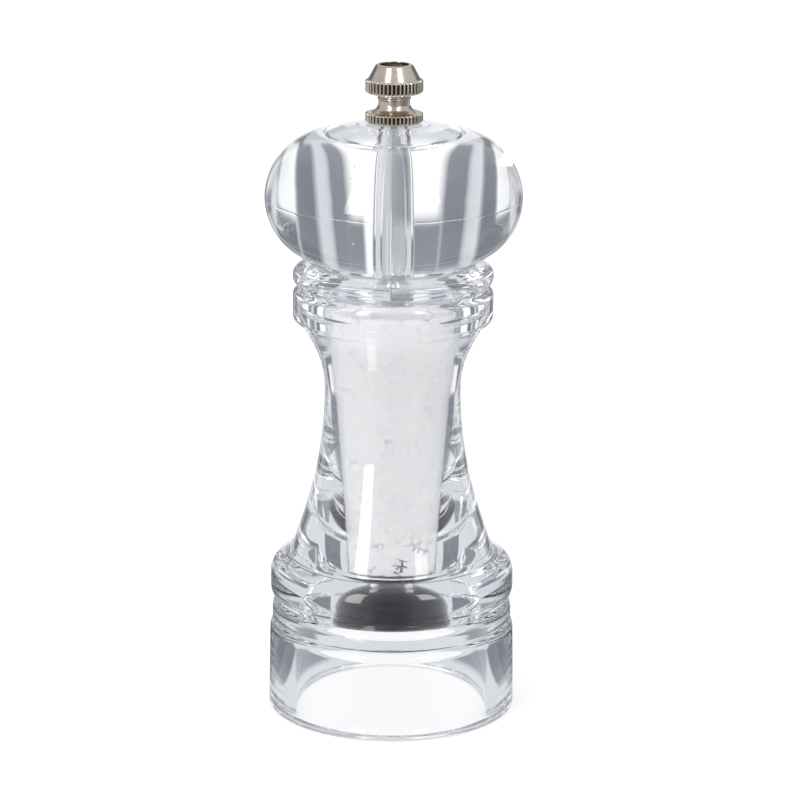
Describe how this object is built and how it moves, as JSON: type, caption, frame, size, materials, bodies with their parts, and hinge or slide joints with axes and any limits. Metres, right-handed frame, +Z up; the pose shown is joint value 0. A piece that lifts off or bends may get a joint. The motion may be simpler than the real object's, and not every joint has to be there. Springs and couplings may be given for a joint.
{
  "type": "pepper mill",
  "caption": "Clear acrylic table mill with a turned round head, knurled top nut, square drive shaft and ceramic cone grinder, filled with coarse salt.",
  "frame": {"origin": "on the mill's axis at the underside of the base", "axes": "+Z up along the axis; the mill is round, so X and Y are only told apart by the shaft's flats"},
  "size_m": [0.062, 0.062, 0.16],
  "materials": {
    "acrylic_body": "clear polished acrylic",
    "acrylic_head": "clear polished acrylic with fine bubbles",
    "salt": "coarse white crystals",
    "nickel_plate": "polished nickel plate over brass",
    "aluminium_bar": "drawn, satin",
    "black_plastic": "moulded, slightly glossy",
    "white_plastic": "moulded acetal",
    "ceramic": "unglazed, fine grained",
    "steel": "bright drawn stainless steel"
  },
  "bodies": {
    "root": {"body": "acrylic_body", "salt_fill": "salt", "mechanism_housing": "black_plastic", "burr_retaining_ring": "black_plastic", "outer_burr": "ceramic", "bridge": "white_plastic"},
    "drive": {"shaft_bush": "white_plastic", "spring": "steel"},
    "shaft": {"drive_shaft": "aluminium_bar", "inner_burr": "ceramic", "burr_carrier": "white_plastic", "shaft_washer": "steel", "shaft_clip": "steel"},
    "head": {"head": "acrylic_head"},
    "nut": {"finial_nut": "nickel_plate"}
  },
  "joints": [
    {"name": "grind_spin", "type": "hinge", "parent": "root", "child": "drive", "pos_m": [0, 0, 0.04], "axis": [0, 0, 1], "continuous": true},
    {"name": "grind_adjust", "type": "slide", "parent": "drive", "child": "shaft", "axis": [0, 0, 1], "range_m": [0, 0.002], "deforming": ["spring"]},
    {"name": "head_lift", "type": "slide", "parent": "drive", "child": "head", "axis": [0, 0, 1], "range_m": [0, 0.075]},
    {"name": "nut_turn", "type": "hinge", "parent": "head", "child": "nut", "pos_m": [0, 0, 0.15], "axis": [0, 0, -1], "range_deg": [0, 900]}
  ],
  "couplings": [
    {"joint": "grind_adjust", "follows": "nut_turn", "m_per_rad": 0.00012732}
  ]
}
